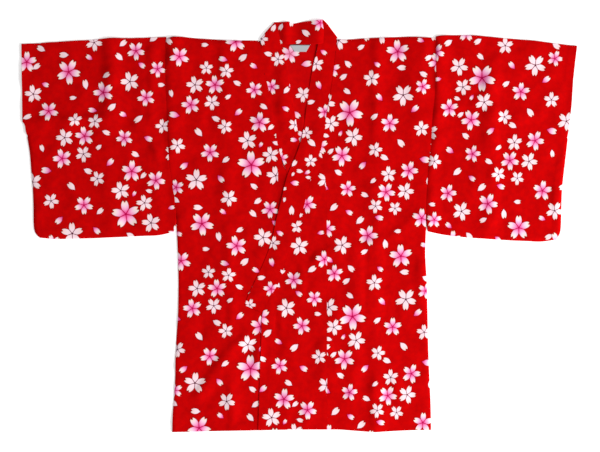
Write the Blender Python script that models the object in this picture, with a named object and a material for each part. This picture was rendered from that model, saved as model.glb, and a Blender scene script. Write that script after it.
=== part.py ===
"""A child's half-length kimono in printed cotton, laid flat on its back.

X runs across the garment and Y from hem to collar, with the cloth resting on z = 0 and the
origin under the middle of its outline. Left and right are the wearer's, so the left front is
on the +X side, where it laps over the right front. Sizes are millimetres until a mesh is made.
"""

import math
from collections import namedtuple

import bpy
from mathutils import Vector

METRE = 0.001

CLOTH = 1.0
BAND = 2.0
GAP = 0.3
SEAM = GAP / 2
UNDERARM_Y = 7.0
APEX_Y = 120.0
COLLAR_END_Y = -143.0
FREE_END_Y = -132.6
SHARP = math.radians(40)

RED = (0.58, 0.003, 0.004, 1.0)
SILVER = (0.42, 0.43, 0.45, 1.0)
COTTON_ROUGHNESS = 0.85
LABEL_ROUGHNESS = 0.6

# The garment across its width at each height y, right half and then left half: the side edge,
# the seam between the front and the front panel, the panel's other edge (which is the collar's
# seam from the collar's end upwards) and the collar's free edge.
Section = namedtuple("Section", "y side_r seam_r edge_r free_r side_l seam_l edge_l free_l")
SECTIONS = [
    Section(-328, -203.2, -34.5, 68.0, None, 211.0, 44.5, -66.0, None),
    Section(-300, -202.4, -34.5, 67.2, None, 210.6, 44.5, -65.2, None),
    Section(-270, -200.0, -34.5, 66.4, None, 209.7, 44.5, -64.3, None),
    Section(-240, -198.4, -34.5, 65.5, None, 208.2, 44.5, -63.3, None),
    Section(-210, -198.0, -34.5, 64.5, None, 206.9, 44.5, -62.2, None),
    Section(-180, -196.6, -34.5, 63.3, None, 206.0, 44.5, -61.0, None),
    Section(COLLAR_END_Y, -194.0, -34.5, 61.9, 89.4, 205.3, 44.5, -59.4, -86.9),
    Section(-115, -193.4, -34.5, 50.1, 85.4, 204.8, 44.5, -47.5, -82.9),
    Section(-85, -193.2, -34.4, 32.8, 71.7, 203.8, 44.5, -30.2, -69.1),
    Section(-55, -194.0, -34.3, 24.5, 57.6, 202.0, 44.5, -21.9, -55.0),
    Section(-25, -195.0, -34.2, 14.1, 46.9, 202.0, 44.3, -11.5, -44.3),
    Section(UNDERARM_Y, -197.0, -34.2, 2.4, 40.0, 203.7, 44.0, 0.2, -37.4),
    Section(40, -198.7, -34.1, -6.7, 31.7, 203.4, 43.5, 9.3, -29.1),
    Section(60, -202.0, -34.0, -11.8, 27.4, 204.5, 42.9, 14.4, -24.8),
    Section(80, -205.0, -33.9, -17.9, 21.3, 205.8, 41.0, 19.8, -19.0),
    Section(100, -207.8, -33.5, -26.7, 11.7, 207.8, 38.5, 26.9, -11.8),
    Section(APEX_Y, -208.8, -32.9, -31.4, 3.7, 210.0, 34.8, 33.3, -2.2),
    Section(137, -209.6, -36.0, -36.0, -0.3, 211.6, 38.1, 38.1, 3.8),
    Section(155, -210.2, -39.2, -39.2, -3.0, 212.5, 40.6, 40.6, 6.9),
    Section(178, -211.0, -42.2, -42.2, -6.6, 213.5, 43.8, 43.8, 9.8),
    Section(200, -212.0, -45.4, -45.4, -9.9, 216.0, 48.3, 48.3, 12.8),
    Section(223, -213.1, -50.2, -50.2, -14.6, 218.0, 51.8, 51.8, 16.5),
    Section(250, -213.2, -56.6, -56.6, -17.9, 218.6, 55.5, 55.5, 21.1),
    Section(275, -213.2, -58.4, -58.4, -25.9, 218.8, 58.2, 58.2, 26.9),
    Section(298, -213.2, -63.5, -63.5, None, 219.0, 61.5, 61.5, None),
]

# Edges that run across, as (x, y).
HEM = [
    (-203.2, -330.6), (-111.4, -328.4), (0, -326.3), (62.6, -326.3), (120.6, -330.6), (169.6, -327.8),
    (211, -327),
]
SHOULDER_R = [(-213.2, 299.1), (-200.3, 302.5), (-157, 298.8), (-117, 296.2), (-63.5, 295.6)]
SHOULDER_L = [
    (61.5, 298), (74.9, 297.2), (113, 299.9), (161, 301.5), (185, 302), (212.5, 299.6), (219, 299.9),
]
NECKLINE = [
    (-63.5, 295.6), (-45, 292.2), (-22, 290.7), (0, 290.3), (22, 290.7), (45, 292.6), (61.5, 298),
]

# The collar beside the neck: its seam point and free point at each diagonal fold and just below.
Turn = namedtuple("Turn", "seam free")
FOLD_R = Turn((-61.6, 297.2), (-37.9, 325.1))
FOLD_L = Turn((59.4, 299.6), (37.4, 329.4))
BELOW_FOLD_R = Turn((-59.9, 287.0), (-31.7, 303.0))
BELOW_FOLD_L = Turn((59.0, 289.0), (32.6, 304.0))
COLLAR_TOP = [FOLD_R.free, (-15.4, 326), (-9.6, 322.9), (10.9, 326.5), FOLD_L.free]
BACK_COLLAR_X = (-45, -24.5, -15.2, 0, 17.3, 35)
NECK_SLOPE = (240, 285)

# Sleeve outlines, from the lower outer corner: up the outer edge, whose lower part is closed,
# along the bottom to the free corner at the body, and along the top.
CLOSED_ROWS = 7
OUTER_R = [
    (-414.5, -18.6), (-421, -11.5), (-423.6, 1), (-424, 30), (-425.1, 58), (-427.4, 86), (-429.8, 116),
    (-434.2, 143), (-437, 149), (-438.9, 161), (-442.6, 166), (-443, 190), (-443.4, 223), (-443.9, 255),
    (-444.2, 287.9),
]
BOTTOM_R = [(-414.5, -18.6), (-400, -21), (-325.6, -19.3), (-224.6, -14.6), (-201.6, -9.5)]
TOP_R = [(-444.2, 287.9), (-304.3, 296.4), (-213.5, 299.1)]
OUTER_L = [
    (410.5, -21.6), (416, -12), (417.6, 1), (418.3, 28), (419.2, 55), (421.4, 78), (424.4, 103), (428.4, 138),
    (430.6, 150), (432.4, 164), (434, 176), (436.2, 200), (438, 228), (441, 258), (444.2, 284.9),
]
BOTTOM_L = [(410.5, -21.6), (400, -25.4), (338.1, -23), (267.7, -18.3), (233.9, -14.6), (206.2, -8.6)]
TOP_L = [(444.2, 284.9), (369.3, 294.2), (322.9, 297.8), (289.3, 301), (241.3, 302.3), (219.3, 299.9)]

# How far across each panel its columns stand, as shares of its width.
FRONT_COLUMNS_R = (0, 0.12, 0.24, 0.35, 0.42, 0.486, 0.55, 0.62, 0.74, 0.87, 1)
FRONT_COLUMNS_L = (0, 0.12, 0.24, 0.34, 0.4, 0.46, 0.52, 0.58, 0.68, 0.84, 1)
PANEL_COLUMNS = [n / 7 for n in range(8)]
SLEEVE_COLUMNS = (0, 0.12, 0.24, 0.36, 0.44, 0.5, 0.55, 0.6, 0.67, 0.78, 0.89, 1)

# Soft creases in the upper cloth, left by the garment's folding.
Crease = namedtuple("Crease", "x_low y_low x_high y_high half_width height")
CREASES = [
    Crease(-304, -8, -304, 285, 24, 1.8),
    Crease(-430, 169, -330, 169, 24, 1.6),
    Crease(-113, -322, -118, 285, 22, 1.8),
    Crease(120, -322, 121, 285, 20, 1.8),
    Crease(307, -10, 310, 285, 24, 1.8),
]
CREASE_FADE = 30.0

# The upper front rises over the edges of the one below it, fully up to CLEAR outside them.
CLEAR = 24.0
SLOPE = 30.0

# The label's foot and top, each from x to x at a height y.
Side = namedtuple("Side", "from_x to_x y")
LABEL_FOOT = Side(-7.6, 11.2, 277.8)
LABEL_TOP = Side(-15.4, 18.1, 289.9)


def along(points, at):
    """Second coordinate of a line through points, at a given first one."""
    points = sorted(points)
    if at <= points[0][0]:
        return points[0][1]
    for (x0, y0), (x1, y1) in zip(points, points[1:]):
        if at <= x1:
            return mix(y0, y1, (at - x0) / (x1 - x0))
    return points[-1][1]


def mix(a, b, share):
    return a + (b - a) * share


def ease(share):
    share = min(max(share, 0.0), 1.0)
    return share * share * (3 - 2 * share)


def column(name, shift=0.0):
    """One column of the sections, as (x, y) points moved sideways."""
    return [(getattr(s, name) + shift, s.y) for s in SECTIONS if getattr(s, name) is not None]


def across(edge, start, end, shares):
    """Points of an edge at shares of the way from one x to another."""
    return [(mix(start, end, share), along(edge, mix(start, end, share))) for share in shares]


def section_x(name, y):
    return along([(p[1], p[0]) for p in column(name)], y)


def crease_height(x, y):
    """How far the creases lift the upper cloth."""
    lift = 0.0
    for c in CREASES:
        length = math.hypot(c.x_high - c.x_low, c.y_high - c.y_low)
        ux, uy = (c.x_high - c.x_low) / length, (c.y_high - c.y_low) / length
        run = (x - c.x_low) * ux + (y - c.y_low) * uy
        off = abs((x - c.x_low) * uy - (y - c.y_low) * ux)
        if off < c.half_width and 0 < run < length:
            ends = ease(run / CREASE_FADE) * ease((length - run) / CREASE_FADE)
            lift += c.height * ends * (1 + math.cos(math.pi * off / c.half_width)) / 2
    return lift


def on_floor(x, y):
    return 0.0


def on_back(x, y):
    """Lower face of a cloth that lies on the back."""
    return CLOTH + GAP + crease_height(x, y)


def on_right_front(x, y):
    """Lower face of the left front, which also lies on the right front and on its collar."""
    last = section_x("free_r" if y > COLLAR_END_Y else "edge_r", y)
    front = ease(1 - (x - last - CLEAR) / SLOPE)
    beside = max(section_x("edge_r", y) - x, x - section_x("free_r", y), 0)
    below = max(COLLAR_END_Y - y, 0)
    band = ease(1 - (math.hypot(beside, below) - CLEAR) / SLOPE)
    return on_back(x, y) + (CLOTH + GAP) * front + (BAND - CLOTH) * band


def raised(height, thickness):
    return lambda x, y: height(x, y) + thickness


def panel(left, right, low, high):
    """Rows of points filling the space between four edges, each a list of (x, y)."""
    rows = []
    for a, b in zip(left, right):
        v = (a[1] - left[0][1]) / (left[-1][1] - left[0][1])
        row = []
        for c, d in zip(low, high):
            u = (d[0] - high[0][0]) / (high[-1][0] - high[0][0])
            foot = [mix(left[0][k], right[0][k], u) for k in (0, 1)]
            head = [mix(left[-1][k], right[-1][k], u) for k in (0, 1)]
            row.append([mix(a[k], b[k], u) + mix(c[k] - foot[k], d[k] - head[k], v) for k in (0, 1)])
        rows.append(row)
    return rows


class Wall:
    """A cloth wall of four-sided cells, each corner with a place on the outer and the inner face."""

    def __init__(self):
        self.outer = {}
        self.inner = {}
        self.cells = []

    def add_cell(self, a, b, c, d):
        self.cells.append([a, b, c, d])

    def lay_front(self, rows, height):
        """Adds a sheet that shows its outer face, with its lower face at a height for each (x, y)."""
        self.lay("front", rows, raised(height, CLOTH), height)

    def lay_back(self, rows):
        """Adds a sheet that lies on its outer face."""
        self.lay("back", rows, on_floor, raised(on_floor, CLOTH))

    def lay(self, layer, rows, outer_height, inner_height):
        for j, row in enumerate(rows):
            for i, (x, y) in enumerate(row):
                self.outer[layer, i, j] = (x, y, outer_height(x, y))
                self.inner[layer, i, j] = (x, y, inner_height(x, y))
        for j in range(len(rows) - 1):
            for i in range(len(rows[0]) - 1):
                corners = [(layer, i, j), (layer, i + 1, j), (layer, i + 1, j + 1), (layer, i, j + 1)]
                self.add_cell(*(reversed(corners) if layer == "back" else corners))

    def close(self, chain):
        """Joins front and back round a folded or sewn edge, with chain clockwise round the sheet."""
        edge = [self.outer["front", i, j] for i, j in chain]
        sheet = [p for (layer, _, _), p in self.outer.items() if layer == "front"]
        middle = [sum(p[k] for p in sheet) / len(sheet) for k in (0, 1)]
        for n, (i, j) in enumerate(chain):
            x, y, top = edge[n]
            before, after = edge[max(n - 1, 0)], edge[min(n + 1, len(chain) - 1)]
            nx, ny = before[1] - after[1], after[0] - before[0]
            size = math.copysign(math.hypot(nx, ny), nx * (x - middle[0]) + ny * (y - middle[1]))
            outside, inside = top / 2, top / 2 - CLOTH
            self.outer["edge", i, j] = (x + nx / size * outside, y + ny / size * outside, top / 2)
            self.inner["edge", i, j] = (x + nx / size * inside, y + ny / size * inside, top / 2)
        for a, b in zip(chain, chain[1:]):
            self.add_cell(("front", *a), ("front", *b), ("edge", *b), ("edge", *a))
            self.add_cell(("edge", *a), ("edge", *b), ("back", *b), ("back", *a))


def back():
    """The back in one piece, from side to side and from the hem to the shoulders and the neck."""
    right, left = column("side_r", SEAM), column("side_l", -SEAM)
    right[-1], left[-1] = (right[-1][0], SHOULDER_R[0][1]), (left[-1][0], SHOULDER_L[-1][1])
    neck = [(x, y - SEAM) for x, y in NECKLINE[1:-1]]
    high = [right[-1], *SHOULDER_R[1:], *neck, *SHOULDER_L[:-1], left[-1]]
    shares = [(x - high[0][0]) / (high[-1][0] - high[0][0]) for x, _ in high]
    low = across(HEM, right[0][0], left[0][0], shares)
    wall = Wall()
    wall.lay_back(panel([low[0], *right[1:]], [low[-1], *left[1:]], low, high))
    return wall


def front(side, way, columns, shoulder, height):
    """The wide part of a front, from the hem to the shoulder and from the side to the panel."""
    seam, side_edge = column("seam_" + side, way * SEAM), column("side_" + side, -way * SEAM)
    low = across(HEM, seam[0][0], side_edge[0][0], columns)
    high = across(shoulder, seam[-1][0], side_edge[-1][0], columns)
    inner, outer = [low[0], *seam[1:-1], high[0]], [low[-1], *side_edge[1:-1], high[-1]]
    wall = Wall()
    wall.lay_front(panel(inner, outer, low, high), height)
    return wall


def front_panel(side, way, height):
    """The narrow panel between the front and the collar, pointed at its top."""
    seam = [p for p in column("seam_" + side, -way * SEAM) if p[1] <= APEX_Y]
    edge = [p for p in column("edge_" + side, way * SEAM) if p[1] <= APEX_Y]
    low = across(HEM, seam[0][0], edge[0][0], PANEL_COLUMNS)
    high = across([(0, APEX_Y)], seam[-1][0], edge[-1][0], PANEL_COLUMNS)
    wall = Wall()
    wall.lay_front(panel([low[0], *seam[1:]], [low[-1], *edge[1:]], low, high), height)
    return wall


def sleeve(side, way, outer, bottom, top):
    """A length of cloth folded at the top and sewn below, open at the wrist and towards the body."""
    armhole = [p for p in column("side_" + side, way * SEAM) if p[1] >= UNDERARM_Y]
    low = across(bottom, bottom[0][0], bottom[-1][0], SLEEVE_COLUMNS)
    high = across(top, top[0][0], top[-1][0], SLEEVE_COLUMNS)
    rows = panel(outer, [bottom[-1], *armhole[:-1], top[-1]], low, high)
    wall = Wall()
    wall.lay_front(rows, on_back)
    wall.lay_back(rows)
    last_column, last_row = len(SLEEVE_COLUMNS) - 1, len(rows) - 1
    wall.close([(i, last_row) for i in range(last_column + 1)])
    wall.close([(i, 0) for i in range(last_column, 0, -1)] + [(0, j) for j in range(CLOSED_ROWS + 1)])
    return wall


def collar_arm(side, way, height):
    """The collar's front stretch from its end up, as seam and free points on its lower face."""
    rows = []
    for s in SECTIONS:
        free_x = getattr(s, "free_" + side)
        if free_x is not None:
            seam = (getattr(s, "edge_" + side) - way * SEAM, s.y)
            free = (free_x, FREE_END_Y if s.y == COLLAR_END_Y else s.y)
            neck = (BAND - CLOTH) * ease((s.y - NECK_SLOPE[0]) / (NECK_SLOPE[1] - NECK_SLOPE[0]))
            rows.append([(*p, height(*p) + neck) for p in (seam, free)])
    return rows


def collar_back():
    """The collar behind the neck, from right to left, lying on its outer face."""
    rows = []
    for x in BACK_COLLAR_X:
        free_x = x * FOLD_L.free[0] / FOLD_L.seam[0]
        free_y = along(COLLAR_TOP, free_x)
        rows.append([(x, along(NECKLINE, x) + SEAM, 0), (free_x, free_y, 0)])
    return rows


def flat(turn, height):
    return [(*turn.seam, height), (*turn.free, height)]


def fold_edge(turn, reach, height):
    """A diagonal fold's line, moved outwards across the fold."""
    (x0, y0), (x1, y1) = turn
    size = math.copysign(math.hypot(x1 - x0, y1 - y0), x0)
    out_x, out_y = (y1 - y0) / size * reach, (x0 - x1) / size * reach
    return [(x0 + out_x, y0 + out_y, height), (x1 + out_x, y1 + out_y, height)]


def collar():
    """One long band, folded double, that turns over at each side of the neck."""
    over = BAND + GAP
    middle = BAND + GAP / 2
    faces = []

    def face_up(row):
        faces.append(([(x, y, z + BAND) for x, y, z in row], row))

    def face_down(row):
        faces.append((row, [(x, y, z + BAND) for x, y, z in row]))

    def on_edge(turn):
        faces.append((fold_edge(turn, middle, middle), fold_edge(turn, GAP / 2, middle)))

    for row in collar_arm("r", -1, on_back):
        face_up(row)
    face_up(flat(BELOW_FOLD_R, over))
    face_up(flat(FOLD_R, over))
    on_edge(FOLD_R)
    face_down(flat(FOLD_R, 0))
    for row in collar_back():
        face_down(row)
    face_down(flat(FOLD_L, 0))
    on_edge(FOLD_L)
    face_up(flat(FOLD_L, over))
    face_up(flat(BELOW_FOLD_L, over))
    for row in reversed(collar_arm("l", 1, on_right_front)):
        face_up(row)

    wall = Wall()
    for j, (outer, inner) in enumerate(faces):
        for i, share in enumerate((0, 0.5, 1)):
            wall.outer[i, j] = tuple(mix(a, b, share) for a, b in zip(*outer))
            wall.inner[i, j] = tuple(mix(a, b, share) for a, b in zip(*inner))
    for j in range(len(faces) - 1):
        for i in (0, 1):
            wall.add_cell((i, j), (i + 1, j), (i + 1, j + 1), (i, j + 1))
    return wall


def label():
    """A small woven tab under the neck seam, narrower at its foot."""
    foot = [(LABEL_FOOT.from_x, LABEL_FOOT.y), (LABEL_FOOT.to_x, LABEL_FOOT.y)]
    top = [(LABEL_TOP.from_x, LABEL_TOP.y), (LABEL_TOP.to_x, LABEL_TOP.y)]
    wall = Wall()
    wall.lay_front([foot, top], on_back)
    return wall


def signed_volume(points, faces):
    total = 0.0
    for face in faces:
        a = points[face[0]]
        for b, c in zip(face[1:], face[2:]):
            total += Vector(a).dot(Vector(points[b]).cross(Vector(points[c])))
    return total


def solid(name, wall, colour, roughness):
    """Makes the object: both faces of the wall, and a rim along every open edge."""
    keys = list(wall.outer)
    number = {key: n for n, key in enumerate(keys)}
    points = [wall.outer[key] for key in keys] + [wall.inner[key] for key in keys]
    faces = [[number[key] for key in cell] for cell in wall.cells]
    faces += [[n + len(keys) for n in reversed(face)] for face in faces]
    edges = {(a, b) for cell in wall.cells for a, b in zip(cell, cell[1:] + cell[:1])}
    for a, b in sorted(edges):
        if (b, a) not in edges:
            faces.append([number[b], number[a], number[a] + len(keys), number[b] + len(keys)])
    if signed_volume(points, faces) < 0:
        faces = [face[::-1] for face in faces]
    mesh = bpy.data.meshes.new(name)
    mesh.from_pydata([[c * METRE for c in p] for p in points], [], faces)
    mesh.shade_smooth()
    mesh.set_sharp_from_angle(angle=SHARP)
    piece = bpy.data.objects.new(name, mesh)
    bpy.context.scene.collection.objects.link(piece)
    material = bpy.data.materials.new(name)
    material.use_nodes = True
    shader = material.node_tree.nodes["Principled BSDF"]
    shader.inputs["Base Color"].default_value = colour
    shader.inputs["Roughness"].default_value = roughness
    mesh.materials.append(material)


def main():
    for old in list(bpy.data.objects):
        bpy.data.objects.remove(old)
    pieces = {
        "back": back(),
        "front_right": front("r", -1, FRONT_COLUMNS_R, SHOULDER_R, on_back),
        "front_left": front("l", 1, FRONT_COLUMNS_L, SHOULDER_L, on_right_front),
        "front_panel_right": front_panel("r", -1, on_back),
        "front_panel_left": front_panel("l", 1, on_right_front),
        "sleeve_right": sleeve("r", -1, OUTER_R, BOTTOM_R, TOP_R),
        "sleeve_left": sleeve("l", 1, OUTER_L, BOTTOM_L, TOP_L),
        "collar": collar(),
    }
    for name, wall in pieces.items():
        solid(name, wall, RED, COTTON_ROUGHNESS)
    solid("label", label(), SILVER, LABEL_ROUGHNESS)


main()
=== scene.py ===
"""Looks of a child's half-length kimono in printed cotton, laid flat.

Each solid of the frame is replaced by thin cloth that follows it, with the creases, seams and
print of the real garment. Tables and grids are in millimetres, and meshes in metres. X runs
across the garment and Y from hem to collar, as in the frame.
"""

import math
from collections import namedtuple

import bmesh
import bpy
import numpy as np
from mathutils import Matrix, Vector, noise
from mathutils.bvhtree import BVHTree


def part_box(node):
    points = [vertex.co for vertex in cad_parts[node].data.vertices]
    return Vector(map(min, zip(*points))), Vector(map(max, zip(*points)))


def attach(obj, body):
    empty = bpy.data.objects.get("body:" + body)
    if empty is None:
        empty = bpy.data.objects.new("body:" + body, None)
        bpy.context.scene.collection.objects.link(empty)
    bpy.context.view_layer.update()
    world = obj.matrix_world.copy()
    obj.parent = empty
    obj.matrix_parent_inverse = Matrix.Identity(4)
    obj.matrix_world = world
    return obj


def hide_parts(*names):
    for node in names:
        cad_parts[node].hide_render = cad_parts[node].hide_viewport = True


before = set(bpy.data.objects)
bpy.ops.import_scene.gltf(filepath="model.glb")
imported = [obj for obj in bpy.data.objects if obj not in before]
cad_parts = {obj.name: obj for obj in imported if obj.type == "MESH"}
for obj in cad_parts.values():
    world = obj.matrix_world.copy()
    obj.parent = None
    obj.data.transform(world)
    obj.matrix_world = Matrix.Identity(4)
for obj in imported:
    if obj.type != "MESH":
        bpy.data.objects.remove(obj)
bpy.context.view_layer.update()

METRE = 0.001

# The cloth's grid: lines close together at an edge, where the cloth turns round, then a step apart.
STEP = 4.0
EDGE_LINES = (0.0, 0.07, 0.22, 0.5, 1.1, 2.2)
# A solid's points this near, in metres, are one, and a face looks up when its normal's z is more
# than this. The heights read from a solid are smoothed in rounds.
WELD = 1e-5
UPWARD = 0.5
SMOOTHING = 6

# How thick the cloth is.
TOP_CLOTH = 0.7
BACK_CLOTH = 0.95
LABEL_CLOTH = 0.5

# The collar's band: its solid's thickness, its cloth's at the sewn side and at the free side, and
# the extra between them. Its width and lengths set how fine its grid is.
BAND_SOLID = 2.0
BAND_SEWN_CLOTH = 1.0
BAND_FREE_CLOTH = 0.5
BAND_CROWN = 0.5
BAND_WIDTH = 36.0
ARM_LENGTH = 480.0
NECK_LENGTH = 100.0

# A hem turned under is thicker, up to a small step. Narrow rows of the grid keep its lines, over a
# share of the row at most.
HEM = 14.0
HEM_RISE = 0.12
HEM_STEP = 1.6
HEM_KEPT = HEM + 2.0
MOST_KEPT = 0.45

# A side turns down over a reach, which is short where it is sewn.
SEWN_REACH = 3.0
FREE_REACH = 30.0
FAR = 1000.0
# Sewn sides reach a little past the seam, so that no gap shows, and a sleeve lies a step lower there.
JOIN = 0.13
SLEEVE_JOIN = 1.0
BAND_JOIN = 0.7
SLEEVE_STEP = 0.2
# The same side is an armhole above this height, and a side seam below it.
ARMHOLE_FOOT_Y = 7.0
ARMHOLE_BLEND = 20.0
ARMHOLE_DROP = 0.15
ARMHOLE_REACH = 2.5
# Small waves along a side: their height for each millimetre that it turns down, reach and length.
PUCKER = 0.3
PUCKER_REACH = 6.0
PUCKER_LENGTH = 5.0

# Pieces cut as one flat panel, by their corners seen from above: low left, low right, high right and
# high left. Each side (left, right, low and high) turns down by its drop. A joined side meets the
# next piece. Flat sizes and areas, in metres, are the cut of what shows.
Panel = namedtuple("Panel", "node corners drops armhole joined hems flat area")
PANELS = [
    Panel("front_right", ((-203, -331), (-34.6, -327), (-63.6, 296), (-213, 299)),
          (0.9, 0.0, 0.0, 0.9), "left", "left right", "low", (0.18, 0.63), 0.1034),
    Panel("front_left", ((44.6, -327), (211, -327), (219, 300), (61.6, 298)),
          (0.0, 0.9, 0.0, 0.9), "right", "left right", "low", (0.18, 0.63), 0.1034),
    Panel("front_panel_right", ((-34.4, -327), (68, -327), (-31.5, 120), (-32.8, 120)),
          (0.0, 0.3, 0.0, 0.0), None, "left", "low right", (0.104, 0.45), 0.0306),
    Panel("front_panel_left", ((-66, -327), (44.4, -327), (34.7, 120), (33.4, 120)),
          (0.5, 0.0, 0.0, 0.0), None, "right", "low left", (0.112, 0.45), 0.0338),
]
BACK_CORNERS = ((-203, -331), (211, -327), (219, 300), (-213, 299))

# The label, whose upper edge is a black strip from this height on.
LABEL_CORNERS = ((-7.6, 277.8), (11.2, 277.8), (18.1, 289.9), (-15.4, 289.9))
LABEL_DARK_TOP_Y = 288.3

# Sleeves, by their upper layer's corners, and the sides of the wrist and the armhole.
Sleeve = namedtuple("Sleeve", "node corners wrist armhole")
SLEEVES = [
    Sleeve("sleeve_right", ((-414.5, -18.6), (-201.6, -9.5), (-213.5, 300.4), (-444.3, 289.2)),
           "left", "right"),
    Sleeve("sleeve_left", ((206.2, -8.6), (410.5, -21.6), (444.3, 286.2), (219.2, 301.2)),
           "right", "left"),
]
# The wrist is open above its foot. Then the least height of the solid's upper layer, the middle of
# the lower cloth, the seams between the two, and the turns of the fold.
WRIST_FOOT_Y = 146.0
SLEEVE_TOP_LAYER = 1.5
SLEEVE_UNDER_MID = 0.36
SEAM_HEIGHT = 1.0
SEAM_APART = 0.05
FOLD_ANGLES = np.linspace(0, math.pi, 9)[1:-1]

# The collar's band, from the end of the wearer's right arm, over the neck, to the end of the left
# one: x and y of its sewn side, then of its free side. Where both are level, ARMS has y, the right
# arm's two x and the left arm's.
ARMS = [
    (-115, 50.1, 85.4, -47.5, -82.9), (-85, 32.8, 71.7, -30.2, -69.1), (-55, 24.5, 57.6, -21.9, -55.0),
    (-25, 14.1, 46.9, -11.5, -44.3), (7, 2.4, 40.0, 0.2, -37.4), (40, -6.7, 31.7, 9.3, -29.1),
    (80, -17.9, 21.3, 19.8, -19.0), (120, -31.4, 3.7, 33.3, -2.2), (155, -39.2, -3.0, 40.6, 6.9),
    (200, -45.4, -9.9, 48.3, 12.8), (223, -50.2, -14.6, 51.8, 16.5), (250, -56.6, -17.9, 55.5, 21.1),
    (275, -58.4, -25.9, 58.2, 26.9),
]
RIGHT_FOLD = (-61.6, 297.2, -37.9, 325.1)
LEFT_FOLD = (59.4, 299.6, 37.4, 329.4)
RIGHT_ARM = [
    (61.9, -143, 89.4, -132.6), *((seam, y, free, y) for y, seam, free, _, _ in ARMS),
    (-59.9, 287, -31.7, 303), RIGHT_FOLD,
]
NECK = [
    RIGHT_FOLD, (-45, 291.8, -28.3, 325.4), (-24.5, 290.4, -15.4, 325.9), (-15.2, 290.1, -9.6, 322.9),
    (0, 290, 0, 324.7), (17.3, 290.1, 10.9, 326.4), (35, 291.3, 22, 327.5), LEFT_FOLD,
]
LEFT_ARM = [
    LEFT_FOLD, (59, 289, 32.6, 304), *((seam, y, free, y) for y, _, _, seam, free in reversed(ARMS)),
    (-59.8, -139.5, -87.1, -127.6),
]
# Heights are read from above all, or from under the left arm where it covers the right one, below
# a height on the garment.
ABOVE_ALL = 20.0
UNDER_LEFT_ARM = 3.45
COVERED_Y = 150.0
# Between these heights on the garment the arms lie straight on the back.
OPEN_LOW_Y = 118.0
OPEN_HIGH_Y = 292.0
OPEN_BLEND = 32.0
OPEN_HIGH_BLEND = 15.0
OPEN_BOTTOM = 1.0
# Folds behind the neck, by place, reach and height, and how much the sewn side is lifted.
NECK_WRINKLES = ((-22, 7, 3.2), (-4, 5, -0.6), (29, 15, 4.0), (9, 6, 0.8))
NECK_TILT = 1.4
NECK_HALF = 46.0
NECK_FADE = 12.0
# What lies beside the left arm's free side rises towards it, by heights along the garment, and the
# free side rises with it. The reaches are beside and under the arm.
TUCKS = ((-30, 0.2), (7, 0.7), (40, 1.1), (93, 2.0), (130, 2.2), (165, 1.3), (205, 0.0))
TUCK_BESIDE = 28.0
TUCK_UNDER = 4.0
TUCKED = ("front_right", "front_panel_right")
# The free side rises less round where the arms cross, and sinks a little where y is below zero.
CROSSING_Y = 93.0
CROSSING_LENGTH = 78.0
CROSSING_DROP = 0.95
FREE_DROP = 0.3

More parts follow.
